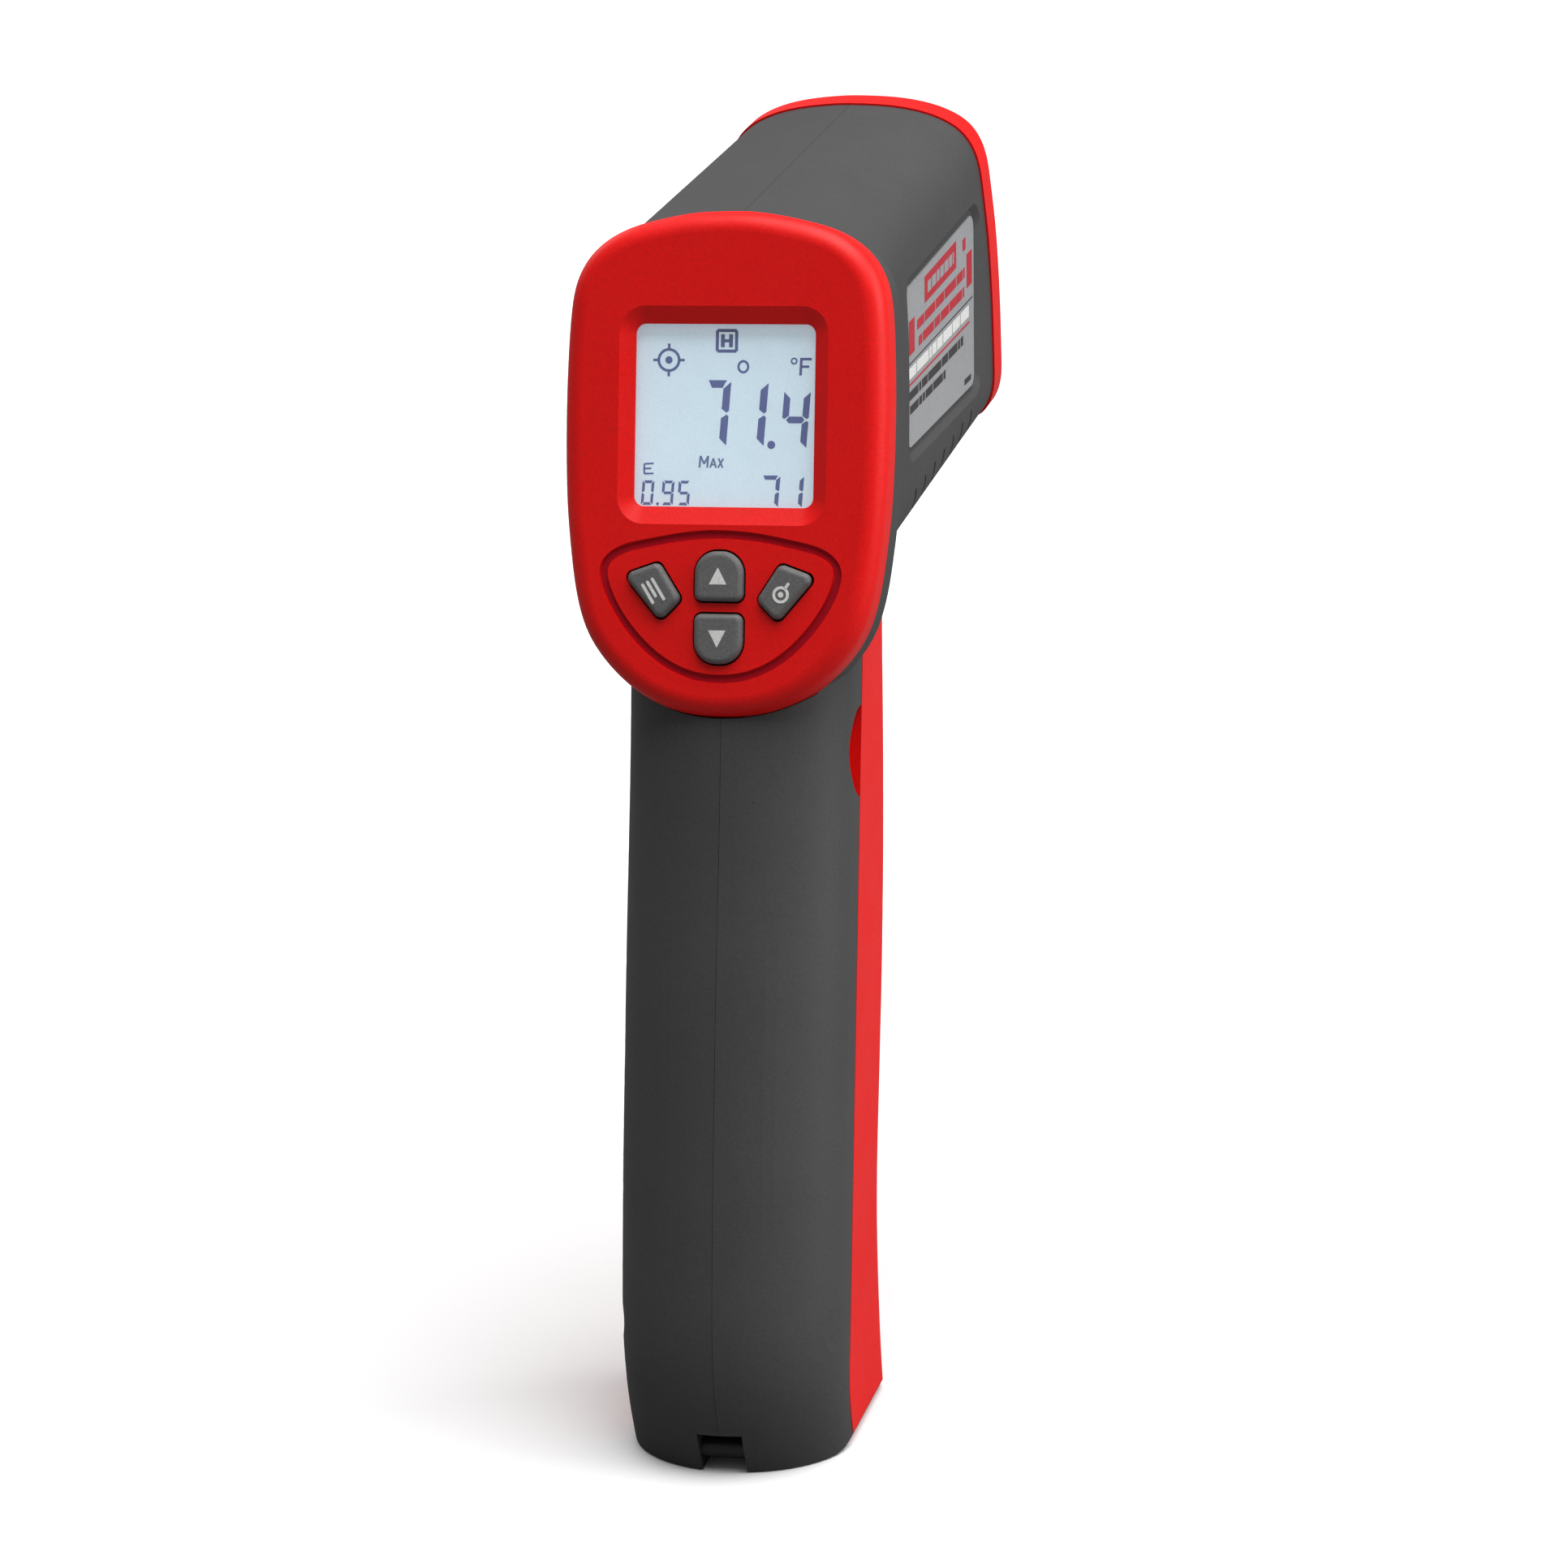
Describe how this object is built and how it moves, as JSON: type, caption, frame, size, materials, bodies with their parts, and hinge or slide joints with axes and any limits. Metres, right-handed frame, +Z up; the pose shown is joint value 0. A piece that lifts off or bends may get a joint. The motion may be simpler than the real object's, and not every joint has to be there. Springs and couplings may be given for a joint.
{
  "type": "infrared thermometer",
  "caption": "Pistol-grip infrared thermometer with a tilted display, four keys, a trigger, a front optic and a drop-down battery door.",
  "frame": {"origin": "middle of the object's footprint, at the level of the flat foot of the grip", "axes": "+Z up along the height, +Y forward to the nose, +X to the right of a person who holds it"},
  "size_m": [0.049, 0.1329, 0.179],
  "materials": {
    "grey_body": "fine matt moulded texture",
    "red_trim": "satin moulded red",
    "black_plastic": "matt black",
    "clear_window": "clear, polished",
    "lcd_glass": "pale blue liquid crystal display",
    "white_diffuser": "white light guide",
    "grey_rubber": "matt silicone",
    "circuit_board": "green solder mask",
    "steel": "plated",
    "nickel_can": "nickel plated",
    "ir_lens_film": "milky infrared plastic",
    "brass": "turned",
    "battery_jacket": "printed metal jacket",
    "lead_jacket": "soft insulation",
    "foam": "closed cell foam",
    "red_plunger": "gloss",
    "silver_label": "silver film"
  },
  "bodies": {
    "housing": {"battery_9v": "battery_jacket", "battery_leads": "lead_jacket", "battery_pad": "foam", "battery_snap": "black_plastic", "board_chips": "black_plastic", "board_connector": "black_plastic", "board_screws": "steel", "buzzer": "black_plastic", "case_screws": "steel", "display_board": "circuit_board", "ir_lens": "ir_lens_film", "keypad_mat": "grey_rubber", "label_left": "silver_label", "label_right": "silver_label", "lanyard_bar": "black_plastic", "laser_lens": "clear_window", "laser_module": "brass", "lcd_backlight": "white_diffuser", "lcd_panel": "lcd_glass", "lcd_window": "clear_window", "left_shell": "grey_body", "lens_retainer": "black_plastic", "lens_tube": "black_plastic", "main_board": "circuit_board", "nose_plate": "black_plastic", "nose_ring": "red_trim", "rear_bezel": "red_trim", "right_shell": "grey_body", "sensor_board": "circuit_board", "sensor_can": "nickel_can", "trigger_pin": "steel", "trigger_spring": "steel", "trigger_switch": "black_plastic"},
    "trigger": {"trigger": "red_trim"},
    "switch_plunger": {"switch_plunger": "red_plunger"},
    "battery_door": {"battery_door": "red_trim", "door_hinge_pins": "steel"},
    "key_up": {"key_up": "grey_rubber"},
    "key_down": {"key_down": "grey_rubber"},
    "key_sel": {"key_sel": "grey_rubber"},
    "key_set": {"key_set": "grey_rubber"}
  },
  "joints": [
    {"name": "trigger_pull", "type": "hinge", "parent": "housing", "child": "trigger", "pos_m": [0, -0.005, 0.1205], "axis": [-1, 0, 0], "range_deg": [0, 8], "stiffness_Nm_per_rad": 0.25, "springref_deg": -3.44, "deforming": ["trigger_spring"]},
    {"name": "switch_press", "type": "slide", "parent": "housing", "child": "switch_plunger", "axis": [0, -1, 0], "range_m": [0, 0.0018]},
    {"name": "door_swing", "type": "hinge", "parent": "housing", "child": "battery_door", "pos_m": [0, -0.0353, 0.0065], "axis": [-1, 0, 0], "range_deg": [0, 65]},
    {"name": "key_up_press", "type": "slide", "parent": "housing", "child": "key_up", "axis": [0, 0.9483, -0.3173], "range_m": [0, 0.0006], "stiffness_N_per_m": 1800, "springref_m": -0.0002},
    {"name": "key_down_press", "type": "slide", "parent": "housing", "child": "key_down", "axis": [0, 0.9483, -0.3173], "range_m": [0, 0.0006], "stiffness_N_per_m": 1800, "springref_m": -0.0002},
    {"name": "key_sel_press", "type": "slide", "parent": "housing", "child": "key_sel", "axis": [0, 0.9483, -0.3173], "range_m": [0, 0.0006], "stiffness_N_per_m": 1800, "springref_m": -0.0002},
    {"name": "key_set_press", "type": "slide", "parent": "housing", "child": "key_set", "axis": [0, 0.9483, -0.3173], "range_m": [0, 0.0006], "stiffness_N_per_m": 1800, "springref_m": -0.0002}
  ],
  "couplings": [
    {"joint": "switch_press", "follows": "trigger_pull", "m_per_rad": 0.0125}
  ]
}
